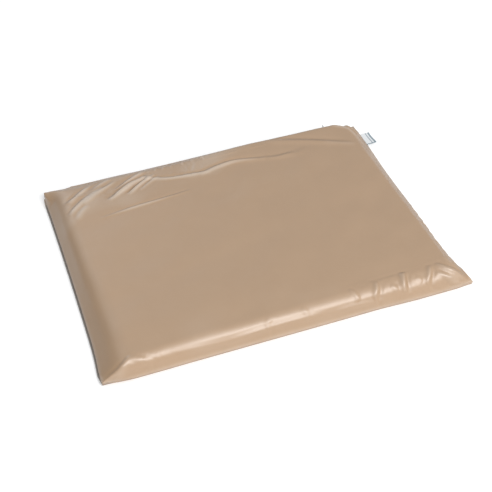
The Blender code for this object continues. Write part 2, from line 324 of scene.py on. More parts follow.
def nylon(name, colour):
    n = Nodes(name, colour, 0.38)
    n.colour(n.mix(n.noise(300.0), shade(colour, 0.88), shade(colour, 1.06)))
    n.surface(n.noise(1500.0), 0.00005, 0.4)
    return n.material


def sewing_thread(name, colour):
    n = Nodes(name, colour, 0.55, Sheen_Weight=0.3)
    twist = n.stripes(650.0, "DIAGONAL")
    n.colour(n.mix(twist, shade(colour, 0.75), shade(colour, 1.12)))
    n.surface(twist, 0.00008, 0.7)
    return n.material


def cast_zinc(name):
    """Plated zinc casting: fine tumbling marks, and roughness that varies at random."""
    colour = (0.60, 0.60, 0.60)
    n = Nodes(name, colour, 0.30, Metallic=1.0)
    marks = n.noise(420.0, 4.0, 0.65)
    n.colour(n.mix(marks, shade(colour, 0.82), shade(colour, 1.14)))
    n.join(n.range(n.noise(160.0, 3.0), 0.22, 0.42), n.shader, "Roughness")
    n.surface(marks, 0.00004, 0.5)
    return n.material


cover_tan = cover_cloth("cover_cloth", TAN)
# the bottom panel: the same cloth, painted darker as shade
cover_under_shaded = cover_cloth("cover_cloth_under_shaded", shade(TAN, 0.88))
tape_weave = woven("zip_tape_weave", (0.38, 0.265, 0.165), 900.0, 700.0)
coil_nylon = nylon("zip_coil_nylon", (0.40, 0.285, 0.185))
thread_finish = sewing_thread("sewing_thread", (0.42, 0.30, 0.20))
zinc = cast_zinc("plated_zinc")


# The cover. Its top panel is a grid of cloth: bands of cells climb from the seam over the
# foam's top edge on each side, and even rows cross the flat middle between them.

MM = 0.001
CELL = 0.0040
LEFT_CELLS = 12
RIGHT_CELLS = 12
FRONT_CELLS = 11
BACK_CELLS = 9
RISE = TOP - SEAM_TOP
ZIP_RISE = TOP - (ZIP_HEIGHT + RIM_OFFSET)  # from the zip's opening to the top
SLACK_SIDE = foam_low.x + HALF_LENGTH  # room between the foam and the seam
SLACK_BACK = ZIP_PLANE - foam_high.y
LIP = 0.0015  # upright strip of cloth above the seam
ZIP_LIP = 0.0035  # the same above the zip
CORNER_LIP = 0.0225 - SEAM_TOP  # the same beside the zip's ends


class Band:
    """The cloth's path from one edge of the panel up and over the foam: how far in from
    the edge, and what share of the rise, at evenly spaced places along the cloth.
    run and radius place the rounding at its top, and flat is level cloth past it."""

    def __init__(self, run, radius, cells, rise=RISE, lip=LIP, belly=0.0, flat=0.008):
        centre = np.array([run + radius, rise - radius])
        start = np.array([0.0, lip])
        away = centre - start
        reach = math.hypot(*away)
        turn = math.atan2(away[1], away[0]) + math.asin(radius / reach)
        touch = start + math.sqrt(reach**2 - radius**2) * np.array([math.cos(turn), math.sin(turn)])
        path = [np.zeros(2)]
        for t in np.linspace(0, 1, 12):
            lean = np.array([-math.sin(turn), math.cos(turn)]) * (belly * math.sin(math.pi * t))
            path.append(start + (touch - start) * t + lean)
        first = math.atan2(touch[1] - centre[1], touch[0] - centre[0])
        for angle in np.linspace(first, math.pi / 2, 10)[1:]:
            path.append(centre + radius * np.array([math.cos(angle), math.sin(angle)]))
        path.append(np.array([centre[0] + flat, rise]))
        path = np.array(path)
        length = np.concatenate(([0.0], np.cumsum(np.hypot(*np.diff(path, axis=0).T))))
        even = np.linspace(0, length[-1], cells + 1)
        self.inward = np.interp(even, length, path[:, 0])
        self.share = np.interp(even, length, path[:, 1]) / rise


def across(low, high, near, far, cells):
    """Places and shares of the rise on one line of cloth across the whole panel."""
    start = low + near.inward
    end = high - far.inward[::-1]
    middle = np.linspace(start[-1], end[0], cells + 1)[1:-1]
    places = np.concatenate((start, middle, end))
    shares = np.concatenate((near.share, np.ones(cells - 1), far.share[::-1]))
    return places, shares


left_front_band = Band(0.0020, 0.048, LEFT_CELLS)
left_band = Band(0.0060, 0.033, LEFT_CELLS)
left_corner_band = Band(0.0080, 0.032, LEFT_CELLS, lip=CORNER_LIP)
right_band = Band(SLACK_SIDE - 0.002, 0.014, RIGHT_CELLS, belly=0.0015)
front_left_band = Band(0.0020, 0.018, FRONT_CELLS)
front_right_band = Band(0.0030, 0.021, FRONT_CELLS, flat=0.006)
front_corner_band = Band(0.0010, 0.013, FRONT_CELLS, flat=0.012)
back_left_band = Band(0.0065, 0.019, BACK_CELLS, ZIP_RISE, ZIP_LIP, flat=0.004)
back_right_band = Band(SLACK_BACK - 0.009, 0.010, BACK_CELLS, ZIP_RISE, ZIP_LIP, belly=0.0015)
left_ear_band = Band(0.0065, 0.019, BACK_CELLS, lip=CORNER_LIP, flat=0.004)
right_ear_band = Band(SLACK_BACK - 0.004, 0.010, BACK_CELLS)

CREST = 0.0008  # slight rise of the cloth along the back
DROOP = 0.0018
BACK_SAG = 0.0050
SCALLOP = 0.0008  # waves of the right seam
SETTLE_FRAMES = 20
SETTLE_QUALITY = 6
MOST_MOVE = 0.008  # the furthest that the cloth may settle
CALMING = 12  # rounds of smoothing where the cloth lies taut
FINER = 3  # cells of the finished cloth in each settled one


def back_sag(x, y):
    """How far the cloth sinks behind and over the foam's back left edge."""
    return ramp(y, 0.12, 0.205) * ramp(-x, -0.12, 0.15)


def front_droop(y):
    """How far the top falls towards the front edge."""
    return DROOP * ramp(-y, 0.150, 0.205)


def opening(x, y):
    """1 along the zip, 0 where the two panels are sewn together."""
    return np.where(y > 0, 1 - ramp(np.abs(x), OPENING_HALF, OPENING_END), 0.0)


def corner(x, y, side, end, size):
    """1 at the cover's corner on that side and end, falling off over the given size."""
    return bump(np.hypot(x - side * HALF_LENGTH, y - end * HALF_DEPTH), 0, size)


def cover_grid():
    """The top panel as an array of points, before the cloth settles, and each point's
    share of the rise from the seam to the top."""
    cells_x = round((2 * HALF_LENGTH - left_band.inward[-1] - right_band.inward[-1]) / CELL)
    depth = HALF_DEPTH + ZIP_PLANE - front_left_band.inward[-1] - back_right_band.inward[-1]
    cells_y = round(depth / CELL)

    def side_to_side(left):
        line = across(-HALF_LENGTH, HALF_LENGTH, left, right_band, cells_x)
        return [values[:, None] for values in line]

    def front_to_back(front, back):
        line = across(-HALF_DEPTH, ZIP_PLANE, front, back, cells_y)
        return [values[None, :] for values in line]

    sides = side_to_side(left_band)
    x_side = sides[0]
    plain_left = front_to_back(front_left_band, back_left_band)
    y_left = plain_left[0]
    eared_left = front_to_back(front_left_band, left_ear_band)
    plain_right = front_to_back(front_right_band, back_right_band)
    eared_right = front_to_back(front_right_band, right_ear_band)
    front_half = np.arange(y_left.shape[1])[None, :] < y_left.shape[1] // 2
    to_right = np.where(front_half, ramp(x_side, -0.20, 0.24), ramp(x_side, -0.10, 0.12))
    plain = blend(to_right, plain_left, plain_right)
    eared = blend(to_right, eared_left, eared_right)
    unopened = ramp(np.abs(x_side), OPENING_HALF - 0.004, OPENING_END)
    tight = np.where(front_half, ramp(-x_side, 0.205, 0.268), 0.0)
    tight_corner = front_to_back(front_corner_band, left_ear_band)
    y, rise_y = blend(tight, blend(unopened, plain, eared), tight_corner)
    blunt = ramp(y_left, 0.178, 0.206)
    soft = ramp(-y_left, -0.06, 0.15)
    kinds = (sides, side_to_side(left_corner_band), side_to_side(left_front_band))
    weights = (1 - blunt - soft, blunt, soft)
    x, rise_x = (sum(weight * kind[k] for weight, kind in zip(weights, kinds)) for k in (0, 1))

    # how much a point follows the left, right, front or back seam
    near_left = np.where(x < 0, 1 - rise_x, 0.0)
    near_right = np.where(x > 0, 1 - rise_x, 0.0)
    near_front = np.where(y < 0, 1 - rise_y, 0.0)
    near_back = np.where(y > 0, 1 - rise_y, 0.0)

    # the sides pull in between the corners, and the corners stand out as ears
    along = np.clip(y / HALF_DEPTH, -1, 1)
    pull_left = 0.0018 * (1 - along**2) - 0.0030 * bump(y, -HALF_DEPTH, 0.04)
    pull_right = 0.0055 * (1 - along**4) - 0.0030 * bump(y, -HALF_DEPTH, 0.03)
    pull_right += 0.0035 * bump(y, -0.140, 0.055) - 0.0032 * bump(y, 0.150, 0.060)
    x_out = pull_left * near_left - pull_right * near_right
    scallops = np.sin(2 * math.pi * y / 0.021 + 0.8) + 0.4 * np.sin(2 * math.pi * y / 0.013)
    scallops *= SCALLOP * ramp(-y, -0.02, 0.09) * ramp(y, -0.222, -0.205)
    x_out -= scallops * near_right
    ear = HALF_DEPTH - ZIP_PLANE
    back_ears = ramp(x, 0.262, HALF_LENGTH) + 0.12 * ramp(-x, 0.268, HALF_LENGTH)
    y_out = ear * back_ears * near_back
    front_out = 0.0028 + 0.0022 * ramp(x, 0.13, 0.21) - 0.0020 * ramp(x, 0.27, HALF_LENGTH)
    front_out = front_out * ramp(x, -HALF_LENGTH, -0.24)
    y_out -= front_out * near_front
    x = x + x_out
    y = y + y_out

    # pinched ears have less height between the foam's corner and the seam
    pinch = 0.65 * corner(x, y, 1, -1, 0.06) + 0.25 * corner(x, y, -1, -1, 0.05)
    pinch += 0.80 * corner(x, y, 1, 1, 0.07) + 0.10 * ramp(y, 0.15, -0.1)
    lower = np.minimum(rise_x, rise_y)
    share = (1 - pinch) * lower + pinch * rise_x * rise_y

    opened = opening(x, y)
    edge = SEAM_TOP + (ZIP_HEIGHT + RIM_OFFSET - SEAM_TOP) * opened
    crest = CREST * bump(y, 0.196, 0.020) * ramp(x, -0.02, 0.10) * ramp(-x, -0.255, -0.205)
    dents = 0.0045 * bump(np.hypot(x - 0.266, y - 0.206), 0, 0.017)
    dents += 0.0040 * bump(np.hypot((x + 0.236) * 0.6, y - 0.210), 0, 0.024)
    top = TOP - CLOTH / 2 - BACK_SAG * back_sag(x, y) + crest - dents - front_droop(y)
    edge -= 0.0018 * ramp(x, -0.295, -0.27) * ramp(-x, -0.285, -0.24) * (y < 0)
    z = edge + (top - edge) * share
    return np.stack((x, y, z), axis=-1), share


def refine(grid, times):
    """A finer grid through the same points, by Catmull-Rom curves both ways."""
    for axis in (0, 1):
        grid = np.moveaxis(grid, axis, 0)
        before = 2 * grid[:1] - grid[1:2]
        after = 2 * grid[-1:] - grid[-2:-1]
        padded = np.concatenate((before, grid, after))
        p0, p1, p2, p3 = padded[:-3], padded[1:-2], padded[2:-1], padded[3:]
        rows = []
        for step in range(times):
            t = step / times
            bend = 2 * p0 - 5 * p1 + 4 * p2 - p3
            swing = 3 * (p1 - p2) + p3 - p0
            rows.append(0.5 * (2 * p1 + (p2 - p0) * t + bend * t**2 + swing * t**3))
        mixed = np.stack(rows, axis=1).reshape(-1, *grid.shape[1:])
        grid = np.moveaxis(np.concatenate((mixed, grid[-1:])), 0, axis)
    return grid


def normals_of(grid):
    along = np.gradient(grid, axis=0)
    over = np.gradient(grid, axis=1)
    return unit(np.cross(along, over))


def refine_line(points, times):
    return refine(np.repeat(points[:, None, :], 2, axis=1), times)[:, 0]


def fold(x, y, line, width, height):
    """A fold of cloth along a line, given as x, y, x, y and so on: a rounded ridge with a
    shallower hollow on its left, tapering to nothing at both ends."""
    points = np.reshape(line, (-1, 2)) * MM
    if len(points) > 2:
        points = refine_line(points, 4)
    nearest = np.full(x.shape, 1e9)
    signed = np.zeros_like(x)
    travelled = np.zeros_like(x)
    steps = np.diff(points, axis=0)
    lengths = np.hypot(*steps.T)
    done = 0.0
    for start, step, length in zip(points[:-1], steps, lengths):
        along = step / length
        held = np.clip((x - start[0]) * along[0] + (y - start[1]) * along[1], 0, length)
        gap_x = x - start[0] - along[0] * held
        gap_y = y - start[1] - along[1] * held
        away = np.hypot(gap_x, gap_y)
        closer = away < nearest
        side = np.sign(along[0] * gap_y - along[1] * gap_x)
        nearest = np.where(closer, away, nearest)
        signed = np.where(closer, away * side, signed)
        travelled = np.where(closer, (done + held) / lengths.sum(), travelled)
        done += length
    taper = np.sin(math.pi * np.clip(travelled, 0, 1)) ** 0.6
    across_it = signed / (width * MM)
    return height * MM * taper * (bump(across_it, 0, 1) - 0.5 * bump(across_it, 1.5, 0.9))


def folded(grid, folds, room, more=0.0):
    """Lifts the cloth along folds, less where there is less room, and says by how much."""
    x, y = grid[..., 0], grid[..., 1]
    lift = (sum(fold(x, y, *each) for each in folds) + more) * np.clip(room, 0, 1)
    return grid + normals_of(grid) * lift[..., None], lift


# Folds that the cloth already holds when it settles: line, width and height, in millimetres
BROAD_FOLDS = [
    ((-150, 180, -100, 166, -45, 155, 10, 158, 75, 153), 6, 2.8),
    ((85, 152, 140, 143, 175, 150), 7, 1),
    ((100, 192, 170, 172, 255, 138), 8, 0.8),
    ((-275, 150, -240, 160, -200, 182), 5, 2),
    ((-262, 128, -225, 148, -185, 172), 4.5, 1.8),
    ((-196, 138, -150, 165, -120, 178), 4.5, 2.6),
    ((-165, 140, -138, 160, -112, 176), 4, 1.6),
    ((-223, 93, -170, 100, -119, 105, -60, 113), 3.5, 1),
]


def cut_shape(grid):
    """The cloth's own size: a little larger than the space it fills, most of all at the
    back left and front right corners, so that it settles in loose folds."""
    x, y = grid[..., 0], grid[..., 1]
    cut = grid.copy()
    back_left = ramp(y, 0.02, 0.20) * ramp(-x, -0.10, 0.24)
    front_right = ramp(-y, 0.04, 0.21) * ramp(x, 0.02, 0.26)
    right_edge = ramp(x, 0.240, 0.292)
    cut[..., 0] *= 1.004
    cut[..., 1] *= 1.004
    cut[..., 0] -= 0.012 * back_left * ramp(-x, 0.08, 0.29)
    cut[..., 1] += 0.009 * ramp(y, 0.09, 0.21) * (0.3 + 0.7 * ramp(-x, -0.15, 0.10))
    cut[..., 0] += 0.006 * front_right * ramp(x, 0.05, 0.29)
    front_edge = ramp(-y, 0.185, 0.220) * ramp(x, -0.15, 0.05)
    cut[..., 0] += 0.06 * x * front_edge
    cut[..., 1] += 0.05 * y * right_edge
    return cut


def settle(grid, flat, cut, held):
    """Lets the cloth relax over the filled shape, held along its edges."""
    index = numbered(*grid.shape[:2])
    faces = grid_faces(index)
    cloth = mesh_object("cloth_settling", grid.reshape(-1, 3), faces, cover_tan)
    cloth.shape_key_add(name="start")
    key = cloth.shape_key_add(name="cut")
    key.data.foreach_set("co", cut.reshape(-1).astype(np.float32))
    group = cloth.vertex_groups.new(name="held")
    group.add([int(i) for i in index[held]], 1.0, "REPLACE")
    cloth_mod = modifier(cloth, "CLOTH")
    fabric = assign(cloth_mod.settings, quality=SETTLE_QUALITY, mass=0.03, air_damping=2.0)
    fabric.effector_weights.gravity = 0.35
    fabric.bending_model = "ANGULAR"
    assign(fabric, tension_stiffness=60.0, tension_damping=20.0)
    assign(fabric, compression_stiffness=60.0, compression_damping=20.0)
    assign(fabric, shear_stiffness=20.0, shear_damping=20.0)
    assign(fabric, bending_stiffness=0.15, bending_damping=0.8)
    assign(fabric, vertex_group_mass="held", pin_stiffness=50.0, rest_shape_key=key)
    contact = cloth_mod.collision_settings
    assign(contact, collision_quality=2, distance_min=0.0008, use_self_collision=False)
    form = flat - normals_of(flat) * 0.0013
    collider = mesh_object("cloth_form", form.reshape(-1, 3), faces, cover_tan)
    modifier(collider, "COLLISION")
    assign(collider.collision, thickness_outer=0.0006, thickness_inner=0.006)
    assign(collider.collision, use_culling=True, damping=0.6, cloth_friction=2.0)
    assign(cloth_mod.point_cache, frame_start=1, frame_end=SETTLE_FRAMES)
    scene = bpy.context.scene
    for number in range(1, SETTLE_FRAMES + 1):
        scene.frame_set(number)
    graph = bpy.context.evaluated_depsgraph_get()
    done = cloth.evaluated_get(graph).to_mesh()
    settled = np.empty(len(done.vertices) * 3, np.float32)
    done.vertices.foreach_get("co", settled)
    for obj in (cloth, collider):
        bpy.data.objects.remove(obj, do_unlink=True)
    scene.frame_set(1)
    moved = settled.reshape(grid.shape).astype(float) - grid
    length = np.linalg.norm(moved, axis=-1, keepdims=True)
    moved *= np.minimum(1.0, MOST_MOVE / np.maximum(length, 1e-9))
    calm = moved
    for _ in range(CALMING):
        wide = np.pad(calm, ((1, 1), (1, 1), (0, 0)), mode="edge")
        calm = (wide[:-2, 1:-1] + wide[2:, 1:-1] + wide[1:-1, :-2] + wide[1:-1, 2:]) / 4
    x, y = grid[..., 0], grid[..., 1]
    loose = ramp(y, 0.04, 0.09) * ramp(-x, -0.14, -0.04) + ramp(x, 0.06, 0.14) * ramp(-y, 0.17, 0.20)
    loose = np.clip(loose, 0.1, 1) * ramp(x, -0.262, -0.236)
    return grid + calm + (moved - calm) * loose[..., None]


# Sharper creases, pressed in after the cloth has settled: the same, in millimetres
CREASES = [
    # the fan of creases at the back left corner
    ((-272, 118, -244, 146, -200, 178), 4.6, 2.6),
    ((-268, 148, -246, 168, -220, 190), 4, 2.2),
    ((-244, 138, -216, 160, -176, 184), 4.2, 2.2),
    ((-226, 170, -206, 184, -184, 196), 4, 1.6),
    ((-262, 100, -252, 118, -236, 132), 5, 1.2),
    ((-202, 132, -152, 164, -114, 180), 4.6, 3.8),
    ((-166, 136, -139, 158, -108, 178), 3.8, 2.8),
    ((-184, 156, -152, 178, -124, 194), 4, 2.4),
    ((-144, 140, -122, 158, -98, 170), 3.4, 1.4),
    # a long thin one, and the long one behind the middle
    ((-226, 92, -170, 100, -119, 105, -60, 112), 3, 1.7),
    ((-128, 172, -92, 157, -55, 151, -12, 148), 4.2, 2.4),
    ((-34, 146, 3, 156, 40, 160, 90, 149), 4.6, 3.2),
    ((80, 153, 110, 145, 145, 147), 5, 1.4),
    ((105, 196, 167, 174, 262, 134), 6.5, 1.8),
    # short puckers along the zip
    ((-105, 186, -99, 205), 2.2, 0.9),
    ((-90, 184, -86, 205), 2.2, 1),
    ((-74, 186, -71, 206), 2.2, 0.8),
    ((-52, 184, -56, 206), 2.4, 1),
    ((-34, 188, -36, 206), 2.2, 0.8),
    ((-12, 184, -18, 206), 2.4, 0.9),
    # the fold at the back right ear
    ((240, 204, 262, 188, 273, 168, 277, 132), 4.4, 2.6),
    ((258, 212, 274, 198, 286, 174), 3.6, 1.8),
    ((276, 214, 287, 200, 293, 184), 3, 1),
    # dents and puckers on the front edge, and the folds of the front right ear
    ((94, -198, 101, -208, 104, -217), 4.2, 1.4),
    ((141, -197, 137, -208, 129, -219), 4.6, 2.4),
    ((190, -193, 184, -206, 181, -220), 5, 3.6),
    ((160, -209, 172, -217), 4, 1.2),
    ((236, -194, 229, -207, 220, -219), 4.4, 2.4),
    ((206, -206, 214, -215), 4, 1),
    ((12, -207, 21, -219), 4.5, 0.7),
    ((-36, -206, -50, -218), 4.5, 0.7),
    ((246, -193, 262, -208, 286, -220), 4, 2.4),
    ((240, -208, 262, -219, 280, -223), 3.4, 1.8),
    ((264, -180, 275, -196, 289, -214), 3.6, 1.6),
    # long shallow folds along the front wall
    ((-190, -219, -110, -221.5, -20, -218.5, 60, -221), 2.2, 0.7),
    ((20, -223, 90, -220.5, 170, -222.5), 2, 0.7),
    # the tuck at the front left corner
    ((-297, -222.5, -282, -222.5, -268, -218, -256, -209), 4, 1.6),
    ((-262, -210, -243, -217, -226, -222), 3.6, 1),
    # short puckers on the right side
    ((272, -58, 290, -62), 3, 0.8),
    ((270, -91, 289, -93), 3, 1),
    ((271, -118, 289, -115), 2.8, 0.9),
    ((268, -143, 290, -146), 3, 1.2),
    ((270, -166, 290, -164), 2.8, 1),
    ((268, -186, 292, -189), 3, 1.2),
]


def crease(grid, share):
    """Presses the sharp creases into the settled cloth, except along its sewn edge, and says where their
    ridges take a painted sheen.
    """
    x, y = grid[..., 0], grid[..., 1]
    uneven = (0.0005 * waves(x, y, 5, 0.12) + 0.00014 * waves(x, y, 9, 0.045)) * share
    grid, lift = folded(grid, CREASES, share * 4, uneven)
    # where the crease ridges take a painted sheen
    painted_light = 0.25 * ramp(-y, 0.15, 0.19) + ramp(y, 0.05, 0.10) * ramp(-x, -0.16, 0.06)
    painted_light += 0.8 * ramp(y, 0.10, 0.14) * ramp(x, 0.20, 0.25)
    return grid, np.clip(lift / 0.0018, 0, 1) * np.clip(painted_light, 0, 1)


def border(count_x, count_y):
    """Grid positions round the panel's edge, anticlockwise from the front left."""
    front = [(i, 0) for i in range(count_x)]
    right = [(count_x - 1, j) for j in range(1, count_y)]
    back = [(i, count_y - 1) for i in reversed(range(count_x - 1))]
    left = [(0, j) for j in reversed(range(1, count_y - 1))]
    return front + right + back + left


def inward(points):
    """Level directions from edge points towards the middle of the cover, fanned out
    round the corners so that offset rings don't cross."""
    inset = 0.020
    inner_x = np.clip(points[:, 0], -HALF_LENGTH + inset, HALF_LENGTH - inset)
    inner_y = np.clip(points[:, 1], -HALF_DEPTH + inset, ZIP_PLANE - inset)
    return unit(np.stack((inner_x - points[:, 0], inner_y - points[:, 1], 0 * inner_x), axis=1))


def ring_faces(first, second):
    """Quads between two closed loops of point numbers."""
    return list(zip(first, first[1:] + first[:1], second[1:] + second[:1], second))


def cover_top(grid, share, crease_sheen):
    index = numbered(*grid.shape[:2])
    faces = grid_faces(index)
    edge = border(*grid.shape[:2])
    loop = [int(index[i, j]) for i, j in edge]
    rim = np.array([grid[i, j] for i, j in edge])
    sewn = 1 - opening(rim[:, 0], rim[:, 1])
    sewn[(rim[:, 1] < 0) | (np.abs(rim[:, 0]) > OPENING_END)] = 1.0
    points = [grid.reshape(-1, 3)]
    for inset, drop in ((0.0005, 0.0004), (0.0030, 0.0006)):
        ring = rim + inward(rim) * (inset * sewn)[:, None]
        ring[:, 2] -= drop * (0.35 + 0.65 * sewn)
        start = sum(len(p) for p in points)
        points.append(ring)
        numbers = list(range(start, start + len(ring)))
        faces += ring_faces(numbers, loop)
        loop = numbers
    obj = mesh_object("cover_top_panel_cloth", np.concatenate(points), faces, cover_tan)
    front = ramp(-grid[..., 1], 0.205, 0.215)
    # painted sheen along the seam's ridge, the front wall's lower strip and the rounded top edge
    edge_sheen = bump(share, 0.0, 0.03 + 0.12 * front) + bump(share, 0.93, 0.09) * 0.25
    turned_in = np.zeros(2 * len(rim))
    add_attribute(obj, "edge_sheen", np.concatenate((edge_sheen.ravel(), turned_in)))
    add_attribute(obj, "crease_sheen", np.concatenate((crease_sheen.ravel(), turned_in)))
    thicken(obj, CLOTH, -1.0)
    return obj, rim, sewn


def cover_bottom(rim, sewn):
    """The bottom panel: from the seam it curls under and lies flat on the floor."""
    way = inward(rim)
    zip_edge = SEAM_BOTTOM + (ZIP_HEIGHT - RIM_OFFSET - SEAM_BOTTOM) * (1 - sewn)
    height = np.where(sewn < 1, zip_edge, rim[:, 2] - (SEAM_TOP - SEAM_BOTTOM))
    curl = 0.0016  # radius at which the cloth turns under
    # on the left the bottom panel shows as a thin line beyond the top one
    shown = ramp(-rim[:, 0], 0.285, 0.292) * ramp(rim[:, 1], -0.222, -0.200)
    tuck = 0.0010 - 0.0036 * shown
    # how far in each ring of the cloth's points lies, and its height
    turned_in = 0.0030 * sewn
    levels = [(turned_in, height + 0.0004), (0.0005 * sewn, height + 0.0003 * sewn)]
    levels.append((tuck * 0.5 * sewn, height - 0.0003 * sewn))
    for angle in (np.arange(5) + 0.5) * math.pi / 10:
        levels.append((tuck + curl * (1 - math.cos(angle)), curl * (1 - math.sin(angle))))
    levels += [(tuck + curl + 0.001, 0.0), (tuck + curl + 0.005, 0.0)]
    rings = []
    for inset, level in levels:
        ring = rim + way * inset[:, None]
        ring[:, 2] = level
        rings.append(ring)
    points = np.concatenate(rings)
    loops = np.arange(len(points)).reshape(len(rings), len(rim)).tolist()
    faces = [face for outer, inner in zip(loops, loops[1:]) for face in ring_faces(inner, outer)]
    faces.append(tuple(reversed(loops[-1])))
    obj = mesh_object("cover_bottom_panel_cloth", points, faces, cover_under_shaded)
    # painted sheen along the bottom panel's edge at the seam
    add_attribute(obj, "edge_sheen", bump(points[:, 2], SEAM_BOTTOM, 0.0015))
    # painted shadow: a dark line where the bottom panel shows along the left edge
    left = ramp(-points[:, 0], 0.284, 0.292) * ramp(points[:, 1], -0.228, -0.21)
    left *= ramp(-points[:, 1], -0.208, -0.188)
    add_attribute(obj, "left_shadow", 0.9 * left * ramp(points[:, 2], -0.0005, 0.0008))
    thicken(obj, CLOTH, -1.0)
    return obj


# The foam slab


def rounded_slab(low, high, corner_radius, edge_radius, spacing):
    """Points and quads of a box with rounded corners in plan and rounded long edges."""
    close = [0.0, 0.0015, 0.003, 0.0048, 0.007, 0.0095, 0.0125, 0.016, 0.021]

    def spots(start, end):
        steps = max(2, round((end - start - 2 * close[-1]) / spacing))
        inner = np.linspace(start + close[-1], end - close[-1], steps + 1)[1:-1]
        return np.concatenate((start + np.array(close), inner, end - np.array(close[::-1])))

    xs, ys = spots(low.x, high.x), spots(low.y, high.y)
    zs = np.linspace(low.z, high.z, 11)
    bm = bmesh.new()
    known = {}

    def vert(point):
        key = tuple(round(c, 6) for c in point)
        if key not in known:
            known[key] = bm.verts.new(point)
        return known[key]

    def patch(us, vs, spot):
        for u0, u1 in zip(us, us[1:]):
            for v0, v1 in zip(vs, vs[1:]):
                bm.faces.new([vert(spot(*c)) for c in ((u0, v0), (u1, v0), (u1, v1), (u0, v1))])

    for level in (low.z, high.z):
        patch(xs, ys, lambda u, v: (u, v, level))
    for wall in (low.y, high.y):
        patch(xs, zs, lambda u, v: (u, wall, v))
    for wall in (low.x, high.x):
        patch(ys, zs, lambda u, v: (wall, u, v))
    inside = corner_radius - edge_radius
    for v in bm.verts:
        x, y, z = v.co
        cx = min(max(x, low.x + corner_radius), high.x - corner_radius)
        cy = min(max(y, low.y + corner_radius), high.y - corner_radius)
        cz = min(max(z, low.z + edge_radius), high.z - edge_radius)
        way = Vector((x - cx, y - cy, 0.0))
        if way.length > inside:
            way *= min(max(abs(way.x), abs(way.y)), corner_radius) / way.length
        core = way.normalized() * min(way.length, inside)
        middle = Vector((cx, cy, cz)) + core
        out = Vector((cx, cy, z)) + way - middle
        v.co = middle + out.normalized() * min(out.length, edge_radius)
    return bm


def foam_slab():
    inset = Vector((0.0030, 0.0030, 0.0))
    bm = rounded_slab(foam_low + inset, foam_high - inset, 0.019, 0.0160, 0.008)
    for v in bm.verts:
        lowering = 0.0042 * back_sag(v.co.x, v.co.y) + 0.0016 + front_droop(v.co.y)
        v.co.z -= lowering * (v.co.z - foam_low.z) / (foam_high.z - foam_low.z)
    return mesh_object("foam_slab", *taken_from(bm), foam_material())


# The zip: tapes, coils, stops, slider, pull tab and its two rows of stitches

TAPE_END = 0.015  # how far each tape runs on behind the sewn seam
TAPE_TUCK = 0.0045  # how far its end turns in towards the foam
TAPE_TAPER = 0.45  # how much of the upper tape's width is folded away there
TAPE_MEETING = 0.96  # how far the two tapes close up there
COIL_PITCH = 0.0013
COIL_WIRE = 0.00029
COIL_TURN = 12  # points on each turn
COIL_REACH = 0.0004  # how far the turns' heads pass the zip's centre line
STITCH = 0.0030
STITCH_GAP = 0.0007
STITCH_RADIUS = 0.00021
SEAM_STITCH_INSET = 0.0011
PLATE = 0.0010  # thickness of the slider's two plates
WALL_INNER = 0.21205  # where the slider's side walls end, clear of the tapes
BRIDGE_REACH = 0.0036  # half the bridge's length
BRIDGE_THICK = 0.0004  # half its thickness
TAB_HOLE = 0.0010  # radius of the hole in the pull tab
SHARP = math.radians(38.0)  # metal edges above this angle look sharp


def joined(name, parts, finish):
    """One mesh object from lists of (points, faces)."""
    points = []
    faces = []
    for part_points, part_faces in parts:
        start = len(points)
        points += [tuple(p) for p in part_points]
        faces += [tuple(start + i for i in face) for face in part_faces]
    return mesh_object(name, points, faces, finish)


def loft(rings):
    """Points and faces through a row of closed rings, with the ends closed."""
    loops = np.arange(len(rings) * len(rings[0])).reshape(len(rings), -1).tolist()
    faces = [face for here, there in zip(loops, loops[1:]) for face in ring_faces(here, there)]
    faces += [tuple(reversed(loops[0])), tuple(loops[-1])]
    return [p for ring in rings for p in ring], faces


def tube(line, radii, sides, level):
    """A round tube along a line of points; level is a direction that it never follows."""
    tangent = unit(np.gradient(line, axis=0))
    side = unit(np.cross(tangent, level))
    up = np.cross(side, tangent)
    turn = (2 * math.pi * np.arange(sides) / sides)[None, :, None]
    out = side[:, None] * np.cos(turn) + up[:, None] * np.sin(turn)
    return loft((line[:, None] + np.asarray(radii)[:, None, None] * out).tolist())


def rod(line, sides):
    """A stitch's thread along a line of points, its ends drawn in to small domes."""
    start = line[0] - unit(line[1] - line[0]) * STITCH_RADIUS * 0.8
    end = line[-1] + unit(line[-1] - line[-2]) * STITCH_RADIUS * 0.8
    radii = np.full(len(line) + 2, STITCH_RADIUS)
    radii[[0, -1]] *= 0.35
    return tube(np.concatenate(([start], line, [end])), radii, sides, (0.0, 0.0, 1.0))


def plate(outlines, thickness, bevel, spot):
    """Points and faces of a flat plate with rounded edges. The outlines are loops of
    (u, v); loops inside the first are holes. spot turns (u, v, depth) into a place."""
    curve = bpy.data.curves.new("plate_outline", "CURVE")
    assign(curve, dimensions="2D", fill_mode="BOTH", extrude=thickness / 2 - bevel)
    assign(curve, bevel_depth=bevel, bevel_resolution=2, offset=-bevel)
    for outline in outlines:
        spline = curve.splines.new("POLY")
        spline.points.add(len(outline) - 1)
        for point, (u, v) in zip(spline.points, outline):
            point.co = (u, v, 0.0, 1.0)
        spline.use_cyclic_u = True
    holder = link("plate_holder", curve)
    bpy.context.view_layer.update()
    graph = bpy.context.evaluated_depsgraph_get()
    mesh = bpy.data.meshes.new_from_object(holder.evaluated_get(graph))
    bm = bmesh.new()
    bm.from_mesh(mesh)
    bmesh.ops.remove_doubles(bm, verts=bm.verts, dist=0.00001)
    for v in bm.verts:
        v.co = Vector(spot(*v.co))
    bpy.data.objects.remove(holder, do_unlink=True)
    bpy.data.curves.remove(curve)
    bpy.data.meshes.remove(mesh)
    return taken_from(bm)


